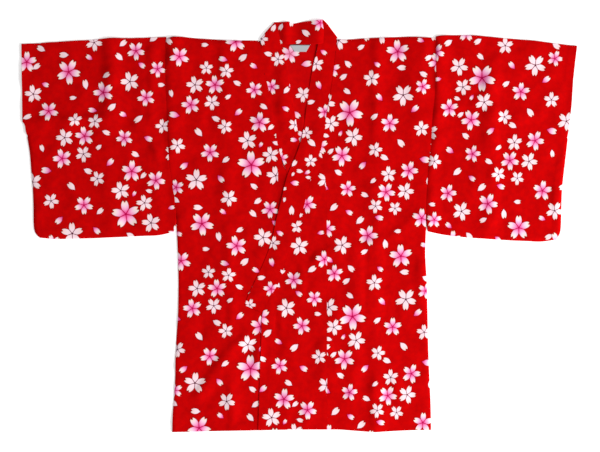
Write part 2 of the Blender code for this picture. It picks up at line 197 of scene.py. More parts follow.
# Creases left by folding and handling: the line of each, its half width, its height, and how much
# steeper its flank is on the line's left (towards -1) or right (towards +1), looking along it.
CREASES = [
    # Right sleeve.
    ([(-304, 140), (-302, 215), (-302, 316)], 23, 3.4, -0.2),
    ([(-448, 160), (-425, 165), (-383, 170), (-296, 170)], 16, 2.9, -0.35),
    ([(-278, 174), (-256, 154), (-238, 140), (-218, 98)], 17, 3.2, 0.4),
    ([(-237, 300), (-237, 215), (-236, 155)], 13, 1.9, 0.3),
    ([(-262, 312), (-262, 278)], 18, 1.2, 0.0),
    ([(-184, -6), (-190, 30), (-196, 74)], 26, 2.6, -0.3),
    ([(-400, 95), (-372, 68), (-352, 22)], 16, 0.8, 0.3),
    ([(-372, 262), (-350, 230), (-341, 196)], 14, 0.7, -0.3),
    # Armhole of the right sleeve.
    ([(-204, 100), (-205, 200), (-206, 322)], 20, 2.7, -0.4),
    ([(-203, 45), (-205, 130)], 14, 1.2, -0.3),
    ([(-203, 222), (-203, 322)], 18, 2.0, -0.3),
    # Right front and the back under it.
    ([(-121, 230), (-122, 312)], 15, 1.6, -0.35),
    ([(-184, 195), (-177, 300)], 22, 1.2, 0.35),
    ([(-153, 120), (-155, 195)], 15, 1.2, 0.3),
    ([(-155, 155), (-157, 148)], 8, 0.5, 0.0),
    ([(-132, 10), (-133, 90)], 13, -1.0, 0.1),
    ([(-112, 10), (-111, 70)], 13, 1.2, -0.3),
    ([(-110, -36), (-118, 8)], 11, 1.5, -0.4),
    ([(-128, -58), (-146, -32)], 11, 1.4, -0.3),
    ([(-110, -74), (-118, -48)], 10, 1.2, -0.3),
    ([(-52, 200), (-40, 145), (-22, 76)], 30, 1.7, -0.5),
    ([(-29, 285), (-28, 225), (-24, 140)], 20, 2.2, 0.3),
    ([(-132, -60), (-135, -118)], 20, 1.4, 0.0),
    ([(-94, -131), (-54, -149)], 8, 2.0, -0.4),
    ([(-70, -166), (-104, -193), (-129, -224), (-146, -245), (-172, -290)], 17, 3.0, 0.25),
    ([(-119, -100), (-119, -168)], 9, -1.1, 0.1),
    ([(-107, -98), (-108, -172)], 10, 1.1, 0.2),
    ([(-109, -244), (-108, -335)], 13, 1.9, 0.35),
    ([(-172, -150), (-160, -205), (-168, -250)], 16, 0.7, -0.2),
    # Overlapping panels.
    ([(-36, -106), (-36, -176)], 8, -1.1, 0.2),
    ([(-28, -108), (-30, -184)], 9, 1.1, -0.2),
    ([(5, -56), (5, -142)], 10, 1.2, -0.2),
    ([(40, -170), (40, -256)], 22, 1.9, 0.3),
    ([(5, -262), (14, -316)], 18, 1.5, 0.2),
    ([(-62, -162), (-63, -238)], 12, 2.2, -0.3),
    ([(-12, -250), (-20, -331)], 15, 0.8, -0.3),
    # Left front.
    ([(16, -70), (27, -47), (48, -40), (80, -44)], 15, 1.7, -0.3),
    ([(74, -48), (96, -31), (123, -27), (163, -6), (208, 30)], 16, 2.1, -0.3),
    ([(91, -150), (93, -20)], 17, 1.9, 0.2),
    ([(106, -35), (106, -140)], 6, -0.7, 0.0),
    ([(88, -288), (90, -178)], 18, 2.2, 0.2),
    ([(122, -342), (121, -232)], 20, 3.0, -0.3),
    ([(195, -155), (195, -45)], 19, 2.4, -0.3),
    ([(129, -198), (144, -230)], 13, 1.5, 0.2),
    ([(147, -236), (166, -270)], 13, 1.5, -0.2),
    ([(136, -336), (138, -286)], 15, 1.3, 0.2),
    ([(160, -295), (160, -331)], 8, -0.7, 0.0),
    ([(121, 140), (122, 312)], 14, 1.8, -0.4),
    ([(192, 150), (191, 322)], 34, 3.4, -0.05),
    ([(54, 210), (53, 165)], 12, 0.7, -0.2),
    # Armhole of the left sleeve.
    ([(208, -12), (211, 50), (215, 110), (219, 150)], 14, 2.3, -0.4),
    ([(218, 120), (222, 180), (223, 345)], 15, 3.2, -0.45),
    ([(199, 205), (200, 345)], 13, 1.3, 0.0),
    ([(214, 20), (207, -8)], 12, 1.4, -0.5),
    # Left sleeve.
    ([(308, -24), (310, 80), (310, 165)], 18, 1.7, 0.2),
    ([(310, 135), (310, 275)], 19, 2.3, 0.2),
    ([(272, 182), (290, 208), (304, 240)], 16, 2.7, -0.3),
    ([(285, 55), (288, 150)], 16, 1.3, 0.0),
    ([(314, 146), (355, 170), (400, 186)], 16, 1.4, 0.3),
    ([(240, 82), (290, 34)], 15, 1.5, -0.2),
    ([(410, 84), (413, 0)], 18, 2.8, 0.25),
    ([(262, -7), (315, -8)], 5, 0.5, -0.4),
    ([(421, 248), (418, 188)], 12, 0.8, -0.3),
]
# A crease fades towards its ends, wanders to either side and is uneven in height.
CREASE_FADE = 22.0
WANDER = 1.2
WANDER_LENGTH = 13.0
RIPPLE = 0.22
RIPPLE_LENGTH = 8.0

# A lower layer follows a share of each crease, up to a height, apart from the inside of the neck.
UNDER_SHARE = 0.3
MOST_UNDER = 0.6
NECK_REACH = 60.0

# Slight unevenness of the cloth: sizes across and heights, its lift, and how low it gets at most.
UNEVEN = ((13.0, 0.4), (24.0, 1.5), (38.0, 1.0))
UNEVEN_LIFT = 0.25
LOWEST = -0.5

# The printed cloth repeats in a tile. A blossom is at (x, y) in it, with its radius and the way one
# petal points; a loose petal has its middle, its length and the way its notched end points. Both
# turn clockwise from up, in degrees.
TILE = (256.0, 326.4)
WHITE, PINK, WHITE_PETAL, PINK_PETAL = range(4)
CHART = {
    WHITE: [
        (79, 283, 11.2, 0), (111, 278, 12, 7), (61, 256, 14.4, -14), (88, 228, 12.8, 34),
        (109, 189, 12, -17), (145, 167, 15.2, -10), (33, 159, 12.8, 32), (182, 144, 13.6, -11),
        (190, 111, 15.2, -8), (63, 104, 17.6, 2), (115, 75, 13.6, 32), (169, 12, 15.2, -15),
        (14, 5, 14.4, -8), (219, 262, 12, -13), (5, 192, 15.2, -13), (232, 218, 14.4, 20),
    ],
    PINK: [
        (36, 301, 16, -31), (126, 325, 16.8, -15), (93, 256, 15.5, -6), (54, 224, 15.2, -15),
        (156, 248, 13.6, -24), (164, 196, 16.8, 5), (85, 148, 15.2, -34), (151, 128, 22.4, -3),
        (31, 92, 12.8, -15), (181, 57, 14.4, -36), (72, 34, 19.2, 32), (6, 54, 16, 5),
        (214, 27, 12.8, -36), (193, 311, 14.4, -22), (202, 179, 15.2, 32), (230, 90, 14.4, -5),
    ],
    WHITE_PETAL: [
        (77, 320, 11.7, 268), (138, 300, 16, 230), (128, 259, 13.4, 116), (23, 242, 12, 346),
        (114, 237, 11.2, 235), (171, 221, 13.6, 301), (94, 202, 14.4, 116), (182, 188, 12, 50),
        (67, 180, 16, 319), (190, 163, 11.2, 108), (110, 136, 13.6, 52), (155, 94, 13.6, 127),
        (30, 72, 14.4, 300), (161, 70, 13.9, 55), (66, 60, 15.2, 275), (154, 50, 14.4, 315),
        (132, 24, 12.8, 63), (98, 13, 15.2, 352), (21, 46, 13.6, 61), (2, 294, 14.4, 72),
        (219, 3, 11.2, 275), (180, 277, 16, 230), (210, 74, 15.2, 55), (243, 293, 12.8, 140),
        (246, 16, 12.8, 200),
    ],
    PINK_PETAL: [
        (106, 297, 14.4, 285), (155, 286, 13.1, 301), (130, 212, 14.4, 49), (28, 208, 16.8, 281),
        (166, 160, 9.6, 30), (44, 127, 15.2, 231), (102, 106, 14.4, 139), (224, 133, 11.2, 79),
        (106, 53, 12, 306), (189, 35, 12.8, 127), (34, 18, 12, 112), (194, 244, 14.4, 117),
        (245, 152, 12.8, 20),
    ],
}

# The collar is cut from other parts of the cloth, so its motifs are placed on the garment.
LEFT_ARM_CHART = {
    WHITE: [
        (27, 258, 12.6, -5), (11.3, 147.7, 10.3, 10), (18.3, 103, 10.5, 0), (-3, -2.5, 10.5, 10),
        (-41.7, -28.3, 11.5, 12), (-79, -127, 10, 20),
    ],
    PINK: [(41, 181.5, 12.5, 11), (-45, -101.5, 12.5, -10)],
    WHITE_PETAL: [
        (24.5, 278, 11, 15), (19.3, 197.4, 12.6, 255), (20.3, 131.7, 15.5, 312), (49, 206, 8, 10),
        (1, 86.7, 11, 280), (14.3, 76.7, 9, 100), (20, 71.5, 8, 10), (29.3, 89.3, 12, 240),
        (-8, 99, 12, 35), (-10, 81.7, 7.5, 30), (-24.5, 58.5, 9, 80), (-23.6, 41, 8, 10),
        (-12.1, 24.3, 15, 180), (2.6, 16, 7.5, 20), (-60, -83.5, 13, 262), (-27, -74, 9, 140),
        (-76, -97.3, 4.5, 0), (-80.6, -106.3, 4.5, 90),
    ],
    PINK_PETAL: [
        (38.9, 277, 12, 125), (31.5, 224, 14, 335), (12.9, 84.7, 10, 60), (-7.3, 67.7, 13.8, 97),
        (-31, -12.3, 12.4, 122), (-43.7, -59.3, 14, 345),
    ],
}
RIGHT_ARM_CHART = {
    WHITE: [(-33.7, 265.7, 11.8, -14), (-6.7, 160.7, 11, 22), (-60, 298, 10.5, 20)],
    PINK: [(-44, 221.7, 12.6, 20), (-29, 106.7, 12, -6)],
    WHITE_PETAL: [
        (-40.8, 315.8, 12.5, 205), (-49.9, 274.3, 13.5, 105), (-20.5, 216, 13, 40),
        (-39.5, 143, 9, 10), (-30, 118.7, 9, 10),
    ],
    PINK_PETAL: [(-14.5, 223.5, 6, 10), (-22, 186.7, 12.5, 118), (-8.3, 136.7, 12, 275)],
}
NECK_CHART = {
    PINK: [(33, 323.8, 14, -13)],
    WHITE_PETAL: [
        (-29, 317.5, 12, 205), (-12.5, 323.5, 11, 180), (10.3, 307.8, 15.5, 128),
        (-0.7, 293.7, 10, 250), (-29.8, 293.7, 8, 150),
    ],
}

# How each piece was cut from the cloth: the tile's point under the frame's origin, the turn, the
# cloth's stretch each way and how far its threads lean, in degrees.
LAYS = {
    "front_right": (227.5, 31.3, 0, 1, 1, 0),
    "front_left": (238.6, -22.3, 180, 1.03, 1, 2.67),
    "front_panel_left": (188.3, 146.5, 0, 1, 1, 0),
    "front_panel_right": (234, 194, 180, 1, 1, 0),
    "sleeve_right": (426.2, -238.8, 4.5, 1, 1, 0),
    "sleeve_left": (442.0, 46.0, 176.83, 1.0445, 0.981, 0.85),
    "back": (39.4, 276, 0, -1, 1, 0),
}
# Where the cloth is pulled a little out of line: height on the garment, to the right, upwards.
PULLS = {
    "front_right": ((-314, -4.6, 0), (-266, -2.7, 2.2), (-218, -1, 0.6), (-170, 1.3, 0),
                    (-122, 3.2, 1.4), (-75, 3.6, 0), (-45, 2, 0), (0, 0, 0)),
    "front_left": ((-314, 1, -1), (-266, 0, 0), (-218, 0, 1.8), (-170, 0.3, 1.5), (-122, 0, 0.4),
                   (-75, 0.3, 0), (-26, 1.2, -0.4), (21, -1.6, -0.9), (70, -3, -1.8), (118, -4.3, 0)),
    "front_panel_left": ((-314, -0.8, -1.2), (-266, 0, -0.6), (-218, 1.4, 0.8), (-170, 0, 1),
                         (-120, -1.4, 2.8), (-30, -1.5, 2), (30, -1, 1.2)),
    "sleeve_right": ((22, 0.5, -0.8), (70, 1.6, -1.8), (117, 3.2, 0.8), (160, 1.8, 1.3),
                     (181, 5.5, 0.6), (214, 5, -0.8), (261, 6.3, 2.2), (290, 7, 4)),
    "sleeve_left": ((22, -3.6, -1.5), (117, -3.6, -1.3), (150, -1.6, 0), (213, 0.2, -0.8),
                    (262, -0.2, -2.6)),
}

# A loose petal's middle is this far out, and a motif's chance, from its place, shifts its notches.
LOOSE_MIDDLE = 0.5
CHANCE = (0.37, 0.61)
MOST_CHANCE = 0.9

# A petal, with the blossom's radius as 1: an oval that runs into its root, cut off a gap short of its
# neighbours and by a notch. The scales turn formulas into distances.
PETAL_MIDDLE = 0.58
PETAL_HALF_LENGTH = 0.46
PETAL_HALF_WIDTH = 0.262
LOOSE_WIDER = 0.012
OVAL_SCALE = 0.157
ROOT = 0.3
PETAL_GAP = 0.024
NOTCH_START = 0.84
NOTCH_SLOPE = 1.35
NOTCH_SCALE = 1.68
NOTCH_SHIFT = (0.06, -0.027)
# From nothing to full, over distances or radii: the petal, the ink in the centre and between the
# petals' roots, and the dark rim outside the print.
PETAL_EDGE = (-0.014, 0.02)
CORE_EDGE = (0.13, 0.05)
INK_REACH = (0.5, 0.3)
INK_EDGE = (-0.03, 0.0)
RIM_EDGE = (-0.11, -0.01)
RIM_SHARE = 0.7

# Colours, as light reflected.
DEEP_RED = (0.14, 0.0, 0.002, 1)
FADED = (0.87, 0.7, 0.75, 1)
PLUM = (0.06, 0.002, 0.02, 1)
MAGENTA = (0.42, 0.0, 0.06, 1)
SILVER = (0.42, 0.43, 0.45, 1)
BLACK = (0.012, 0.012, 0.014, 1)
PAPER = (0.8, 0.8, 0.8, 1)
DAYLIGHT = (1, 1, 1, 1)
# A petal's colours by distance from the centre, and how much further out its middle line counts.
WHITE_TONES = [
    (0.0, (0.62, 0.39, 0.47)), (0.3, (0.88, 0.64, 0.71)), (0.62, (0.88, 0.67, 0.71)),
    (0.95, (0.88, 0.60, 0.58)),
]
PINK_TONES = [
    (0.06, (0.60, 0.0, 0.13)), (0.28, (0.80, 0.09, 0.31)), (0.48, (0.87, 0.33, 0.55)),
    (0.7, (0.88, 0.58, 0.69)), (0.84, (0.88, 0.67, 0.67)), (0.98, (0.88, 0.66, 0.58)),
]
MIDDLE_LINE = 0.13

# The cotton's sides: the red, how far it shows through the print, and how much of the print's own
# colour is lost. Then the red's unevenness, the weave in metres, and the surface.
RIGHT_SIDE = ((0.537, 0.0, 0.0003, 1), 0.0, 0.0)
WRONG_SIDE = ((0.537, 0.0004, 0.0008, 1), 0.06, 0.2)
SHADE_SCALE = 125.0
SHADE_DETAIL = 3.0
SHADE_RANGE = (0.3, 0.7, 0.0, 0.2)
THREAD = 0.00045
WEAVE_STRENGTH = 0.12
WEAVE_DEPTH = 0.0001
COTTON_ROUGHNESS = 0.9
COTTON_SPECULAR = 0.03
LABEL_ROUGHNESS = 0.6
DARK_TOP_ROUGHNESS = 0.7
# Colour sockets of a Mix node: the share and both colours, and the result.
MIX_INPUTS = (0, 6, 7)
MIX_OUTPUT = 2

# The studio, in metres.
WORLD_STRENGTH = 0.4
KEY_PLACE = (2.93, -1.32, 1.84)
KEY_SIZE = 2.07
KEY_POWER = 230.0
FLOOR_CORNERS = [(-4, -4, 0), (4, -4, 0), (4, 4, 0), (-4, 4, 0)]
FLOOR_DEPTH = 0.0002
FLOOR_ROUGHNESS = 0.9
FLOOR_GLOW = 0.55
VIEW_WIDTH = 0.96
VIEW_CENTRE = (0.0013, -0.0009)
CAMERA_HEIGHT = 3.2
SENSOR = 36.0


def mix(a, b, share):
    return a + (b - a) * share


def ease(share):
    share = np.clip(share, 0.0, 1.0)
    return share * share * (3 - 2 * share)


def grid_lines(length, marks=()):
    """Shares of a length where the grid's lines run, with extra ones at marked distances."""
    near = np.array(EDGE_LINES)
    count = max(round((length - 2 * near[-1]) / STEP), 1)
    middle = np.linspace(near[-1], length - near[-1], count + 1)
    lines = np.concatenate([near[:-1], middle, length - near[:-1], marks])
    return np.unique(np.round(lines, 3)) / length


def hem_marks(length, at_start, at_end):
    marks = [HEM - HEM_STEP / 2, HEM + HEM_STEP / 2]
    return (marks if at_start else []) + ([length - m for m in marks] if at_end else [])


def lengths(points):
    """Distance of each point of a line from its start."""
    return np.concatenate([[0.0], np.cumsum(np.linalg.norm(np.diff(points, axis=0), axis=1))])


def curve(points, shares):
    """Points at shares of the length of a smooth line through the given ones."""
    points = np.asarray(points, float)
    run = lengths(points)
    at = np.asarray(shares) * run[-1]
    spans = np.diff(run)[:, None]
    ways = np.diff(points, axis=0) / spans
    weights = spans**2
    slope = np.concatenate([ways[:1], ways, ways[-1:]])
    weights = np.concatenate([weights[:1], weights, weights[-1:]])
    slope = (slope[:-1] * weights[:-1] + slope[1:] * weights[1:]) / (weights[:-1] + weights[1:])
    k = np.clip(np.searchsorted(run, at, side="right") - 1, 0, len(spans) - 1)
    span = spans[k]
    t = (at - run[k])[:, None] / span
    start = (1 + 2 * t) * (1 - t) ** 2 * points[k] + t * (1 - t) ** 2 * span * slope[k]
    return start + t * t * (3 - 2 * t) * points[k + 1] + t * t * (t - 1) * span * slope[k + 1]


def solid_mesh(node):
    """The node's mesh in millimetres, with its shared points made one."""
    mesh = bmesh.new()
    mesh.from_mesh(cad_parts[node].data)
    bmesh.ops.remove_doubles(mesh, verts=mesh.verts, dist=WELD)
    mesh.transform(Matrix.Scale(1 / METRE, 4))
    mesh.normal_update()
    return mesh


def outline(mesh, above=0.0):
    """The loop of (x, y), anticlockwise, round the faces that look up above a height."""
    top = [f for f in mesh.faces if f.normal.z > UPWARD and f.calc_center_median().z > above]
    inside = set(top)
    following = {}
    for face in top:
        for corner in face.loops:
            if not any(f in inside for f in corner.edge.link_faces if f is not face):
                following[corner.vert] = corner.link_loop_next.vert
    start = min(following, key=lambda v: (round(v.co.x, 2), round(v.co.y, 2)))
    loop = [start]
    while following[loop[-1]] is not start:
        loop.append(following[loop[-1]])
    return np.array([v.co.xy for v in loop])


def stretch(loop, start, end):
    """The part of a loop from its point nearest to start on to the one nearest to end."""
    first, last = (int(np.argmin(np.linalg.norm(loop - p, axis=1))) for p in (start, end))
    return np.roll(loop, -first, axis=0)[: (last - first) % len(loop) + 1]


def four_sides(loop, low_left, low_right, high_right, high_left):
    """The left, right, low and high sides of a loop, running upwards or rightwards."""
    return (
        stretch(loop, high_left, low_left)[::-1], stretch(loop, low_right, high_right),
        stretch(loop, low_left, low_right), stretch(loop, high_right, high_left)[::-1],
    )


class Grid:
    """Points that fill the space between four sides, in rows from low to high. Rows narrower than
    the widest keep their lines' distances from the sides, and take up the rest between."""

    def __init__(self, sides, hems="", joined="", join=JOIN):
        left, right, low, high = sides
        most = max(lengths(low)[-1], lengths(high)[-1])
        height = (lengths(left)[-1] + lengths(right)[-1]) / 2
        v = grid_lines(height, hem_marks(height, "low" in hems, "high" in hems))
        widest = grid_lines(most, hem_marks(most, "left" in hems, "right" in hems))
        widths = mix(lengths(low)[-1], lengths(high)[-1], v)
        kept = [HEM_KEPT if side in hems else EDGE_LINES[-1] for side in ("left", "right")]
        places = (0, kept[0], most - kept[1], most)
        rows = []
        for width in widths:
            start, end = (min(k, MOST_KEPT * width) for k in kept)
            rows.append(np.interp(widest * most, places, (0, start, width - end, width)))
        across = np.array(rows)
        u = across / widths[:, None]
        a, b = curve(left, v)[:, None], curve(right, v)[:, None]
        c, d = (curve(side, u.ravel()).reshape(*u.shape, 2) for side in (low, high))
        u, v = u[..., None], v[:, None, None]
        corners = mix(mix(a[:1], b[:1], u), mix(a[-1:], b[-1:], u), v)
        self.xy = mix(a, b, u) + mix(c, d, v) - corners
        self.xy[:, 0, 0] -= join * ("left" in joined)
        self.xy[:, -1, 0] += join * ("right" in joined)
        up = v[..., 0] * height * np.ones(across.shape)
        self.distance = {
            "left": across, "right": widths[:, None] - across, "low": up, "high": height - up,
        }

    def from_edge(self, joined=""):
        """Distance from the nearest side that isn't joined."""
        return np.minimum.reduce([d for side, d in self.distance.items() if side not in joined])


def heights(mesh, xy, start):
    """Height of the solid's first face below a start, over a grid of points, smoothed."""
    tree = BVHTree.FromBMesh(mesh)
    down = Vector((0, 0, -1))
    skip = len(EDGE_LINES) - 1
    points = at_height(xy, np.broadcast_to(start, xy.shape[:2]))[skip:-skip, skip:-skip]

    def first_below(point):
        return (tree.ray_cast(point, down)[0] or tree.find_nearest(point)[0]).z

    hits = [first_below(Vector(point)) for point in points.reshape(-1, 3)]
    height = np.array(hits).reshape(points.shape[:2])
    for _ in range(SMOOTHING):
        p = np.pad(height, 1, mode="edge")
        around = p[:-2, 1:-1] + p[2:, 1:-1] + p[1:-1, :-2] + p[1:-1, 2:]
        height = (4 * height + around) / 8
    return np.pad(height, skip, mode="edge")


def crease_height(xy):
    x, y = xy[..., 0], xy[..., 1]
    height = np.zeros_like(x)
    for line, half_width, top, lean in CREASES:
        points = np.array(line, float)
        start = lengths(points)
        nearest = np.full(x.shape, np.inf)
        run, off = np.zeros_like(x), np.zeros_like(x)
        for (x0, y0), (x1, y1), before in zip(points, points[1:], start):
            length = math.hypot(x1 - x0, y1 - y0)
            ux, uy = (x1 - x0) / length, (y1 - y0) / length
            along = np.clip((x - x0) * ux + (y - y0) * uy, 0, length)
            gap = np.hypot(x - x0 - along * ux, y - y0 - along * uy)
            side = np.sign((x - x0) * uy - (y - y0) * ux)
            closer = gap < nearest
            nearest = np.where(closer, gap, nearest)
            run, off = np.where(closer, before + along, run), np.where(closer, side * gap, off)
        off += WANDER * np.sin(run / WANDER_LENGTH + points[0, 0])
        reach = half_width * (1 - lean * np.sign(off))
        bump = (1 + np.cos(np.pi * np.clip(abs(off) / reach, 0, 1))) / 2
        uneven = 1 - RIPPLE + RIPPLE * np.sin(run / RIPPLE_LENGTH + points[0, 1])
        fade = min(CREASE_FADE, start[-1] / 2)
        ends = ease(run / fade) * ease((start[-1] - run) / fade)
        height += top * bump * uneven * ends
    return height


def waves(xy, size, layer=0.0):
    """Smooth noise over points, with waves of a size across."""
    def at(x, y):
        return noise.noise(Vector((x / size, y / size, layer)))

    return np.vectorize(at)(xy[..., 0], xy[..., 1])


def relief(xy):
    """Height of the creases and the cloth's slight unevenness over its plain form."""
    uneven = sum(height * waves(xy, size, size) for size, height in UNEVEN)
    return crease_height(xy) + np.maximum(uneven + UNEVEN_LIFT, LOWEST)


def tuck(xy):
    """Rise of the right front and the back towards the free side of the collar's left arm."""
    x, y = xy[..., 0], xy[..., 1]
    line = sorted((free_y, free_x) for _, _, free_x, free_y in LEFT_ARM)
    gap = np.interp(y, *zip(*line)) - x
    near = np.clip(1 - abs(gap) / np.where(gap > 0, TUCK_BESIDE, TUCK_UNDER), 0, 1)
    return np.interp(y, *zip(*TUCKS)) * near**2


def lift(xy, neck=False):
    """How far a lower layer rises off the floor under the creases: little where cloth lies on it,
    and fully inside the neck."""
    x, y = xy[..., 0], xy[..., 1]
    height = np.maximum(crease_height(xy), 0)
    under = np.minimum(UNDER_SHARE * height, MOST_UNDER)
    if not neck:
        return under
    inside = ease((y - OPEN_LOW_Y) / OPEN_BLEND) * ease((NECK_REACH - abs(x)) / NECK_FADE)
    return mix(under, height + tuck(xy), inside)


def rounded(distance, thickness):
    """The cloth's thickness near its edge, which is round."""
    across = np.clip(distance / (thickness / 2), 0, 1)
    return thickness * np.sqrt(1 - (1 - across) ** 2)


def sewn_drop(distance, drop, reach=SEWN_REACH):
    return -drop * (1 - ease(distance / reach))


def armhole_drop(xy, distance, seam=0.0):
    """Drop along a side that is an armhole and, below it, a side seam."""
    above = ease((xy[..., 1] - ARMHOLE_FOOT_Y) / ARMHOLE_BLEND)
    drop = mix(seam, ARMHOLE_DROP, above)
    return sewn_drop(distance, drop, mix(SEWN_REACH, ARMHOLE_REACH, above))


def pucker(xy, distance):
    return PUCKER * waves(xy, PUCKER_LENGTH) * np.exp(-distance / PUCKER_REACH)


def hem_rise(distance):
    return HEM_RISE * (1 - ease((distance - HEM) / HEM_STEP + 0.5))


def cut_of(name, xy):
    """The cloth's own coordinates at points of the garment."""
    start_u, start_v, degrees, stretch_u, stretch_v, lean = LAYS[name]
    turn, other = math.radians(degrees), math.radians(degrees + lean)
    at, right, up = zip(*PULLS.get(name, [(0, 0, 0)]))
    x = xy[..., 0] - np.interp(xy[..., 1], at, right)
    y = xy[..., 1] - np.interp(xy[..., 1], at, up)
    u = start_u + stretch_u * (x * math.cos(turn) + y * math.sin(turn))
    v = start_v + stretch_v * (y * math.cos(other) - x * math.sin(other))
    return np.stack([u, v], axis=-1)


def at_height(xy, z):
    return np.concatenate([xy, z[..., None]], axis=-1)


def fold(line, outward, high, low):
    """Rows round a fold along a line, from the upper layer's height down to the lower one's."""
    middle, radius = (high + low) / 2, (high - low) / 2
    return np.stack([
        at_height(line + outward * (radius * math.sin(a))[:, None], middle + radius * math.cos(a))
        for a in FOLD_ANGLES
    ])


def cell_corners(grid):
    """A grid's values at the four corners of each cell."""
    low, high = slice(0, -1), slice(1, None)
    order = ((low, low), (low, high), (high, high), (high, low))
    return np.stack([grid[at] for at in order], axis=2).reshape(-1, 4, *grid.shape[2:])


def on_faces(values):
    """Values at the cells' corners, for the faces of both sides."""
    return np.concatenate([values, values[:, ::-1]]).ravel().astype(np.float32)


def new_object(name, data):
    holder = bpy.data.objects.new(name, data)
    bpy.context.scene.collection.objects.link(holder)
    return holder


class Shell:
    """A closed mesh round a grid of points, half a thickness either side and joined at the border."""

    def __init__(self, name, middle, thickness):
        upwards, across = np.gradient(middle, axis=0), np.gradient(middle, axis=1)
        normal = np.cross(across, upwards)
        normal /= np.linalg.norm(normal, axis=2, keepdims=True)
        offset = normal * thickness[..., None] / 2
        inside = np.zeros(thickness.shape, bool)
        inside[1:-1, 1:-1] = True
        front = np.arange(thickness.size).reshape(thickness.shape)
        back = front.copy()
        back[inside] = thickness.size + np.arange(inside.sum())
        points = np.concatenate([(middle + offset).reshape(-1, 3), (middle - offset)[inside]])
        cells = cell_corners(front)
        faces = np.concatenate([cells, cell_corners(back)[:, ::-1]])
        self.mesh = bpy.data.meshes.new(name)
        self.mesh.from_pydata((points * METRE).tolist(), [], faces.tolist())
        self.mesh.shade_smooth()
        self.face_count = len(cells)
        self.piece = new_object(name, self.mesh)
        # The border's edges stay sharp along its sewn sides, where the cloth isn't round.
        sewn = (~inside & (thickness > thickness.max() / 2)).ravel()
        for edge in self.mesh.edges:
            edge.use_edge_sharp = all(v < len(sewn) and sewn[v] for v in edge.vertices)

    def paint(self, cut, charts=((CHART, TILE, slice(None)),)):
        """Writes the cloth's coordinates, and the two nearest motifs', on each face."""
        corners = cell_corners(cut)
        self.mesh.uv_layers.new(name="cut").data.foreach_set("uv", on_faces(corners * METRE))
        for layer, local in zip(("motif_a", "motif_b"), nearest_motifs(corners, charts)):
            attribute = self.mesh.attributes.new(layer, "FLOAT_VECTOR", "CORNER")
            attribute.data.foreach_set("vector", on_faces(local))

    def dress(self, node, front, back):
        """Gives both sides their materials, and the piece its place in the frame."""
        self.mesh.materials.append(front)
        self.mesh.materials.append(back)
        index = np.repeat([0, 1], self.face_count).astype(np.int32)
        self.mesh.polygons.foreach_set("material_index", index)
        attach(self.piece, "root")
        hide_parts(node)


def chart_rows(chart):
    """A chart as one array: kind, x, y, size, turn and how far the motif reaches."""
    return np.array([
        (kind, x, y, size, math.radians(turn), size if kind < WHITE_PETAL else size / 2)
        for kind, motifs in chart.items() for x, y, size, turn in motifs
    ])


def nearest_motifs(corners, charts):
    """For each cell its nearest and second nearest motif: the cell's corners in the motif's own
    coordinates, and its kind and chance. Charts are (chart, tile or None, the cells it serves)."""
    motifs = np.zeros((2, len(corners), 4, 3))
    for chart, tile, cells in charts:
        rows = chart_rows(chart)
        here = corners[cells]
        centre = here.mean(axis=1)
        gap = centre[:, None] - rows[None, :, 1:3]
        if tile:
            gap -= np.round(gap / tile) * tile
        order = np.argsort(np.linalg.norm(gap, axis=2) - rows[:, 5], axis=1)
        for pick, target in zip(order.T, motifs):
            kind, chart_x, chart_y, size, turn, _ = rows[pick].T[..., None]
            spot = centre - gap[np.arange(len(pick)), pick]
            local = here - spot[:, None]
            x = (local[..., 0] * np.cos(turn) - local[..., 1] * np.sin(turn)) / size
            y = (local[..., 0] * np.sin(turn) + local[..., 1] * np.cos(turn)) / size
            chance = (chart_x * CHANCE[0] + chart_y * CHANCE[1]) % MOST_CHANCE
            target[cells, :, 0] = x
            target[cells, :, 1] = y + LOOSE_MIDDLE * (kind >= WHITE_PETAL)
            target[cells, :, 2] = kind + chance
    return motifs


class Nodes:
    """Adds shader nodes to a tree, so that a formula reads like one."""

    def __init__(self, tree):
        self.tree = tree

    def add(self, kind, *values, **settings):
        node = self.tree.nodes.new("ShaderNode" + kind)
        for name, value in settings.items():
            setattr(node, name, value)
        for socket, value in zip(node.inputs, values):
            self.put(socket, value)
        return node

    def put(self, socket, value):
        if isinstance(value, bpy.types.NodeSocket):
            self.tree.links.new(value, socket)
        elif value is not None:
            socket.default_value = value

    def math(self, operation, *values):
        return self.add("Math", *values, operation=operation).outputs[0]

    def times(self, a, b):
        return self.math("MULTIPLY", a, b)

    def minus(self, a, b):
        return self.math("SUBTRACT", a, b)

    def smooth(self, value, start, end, low=0.0, high=1.0):
        node = self.add("MapRange", value, start, end, low, high, interpolation_type="SMOOTHSTEP")
        return node.outputs[0]

    def blend(self, *share_and_colours):
        node = self.add("Mix", data_type="RGBA")
        for index, value in zip(MIX_INPUTS, share_and_colours):
            self.put(node.inputs[index], value)
        return node.outputs[MIX_OUTPUT]

    def ramp(self, share, stops):
        node = self.add("ValToRGB", share)
        elements = node.color_ramp.elements
        while len(elements) < len(stops):
            elements.new(1.0)
        for element, (place, colour) in zip(elements, stops):
            element.position = place
            element.color = (*colour, 1)
        return node.outputs[0]


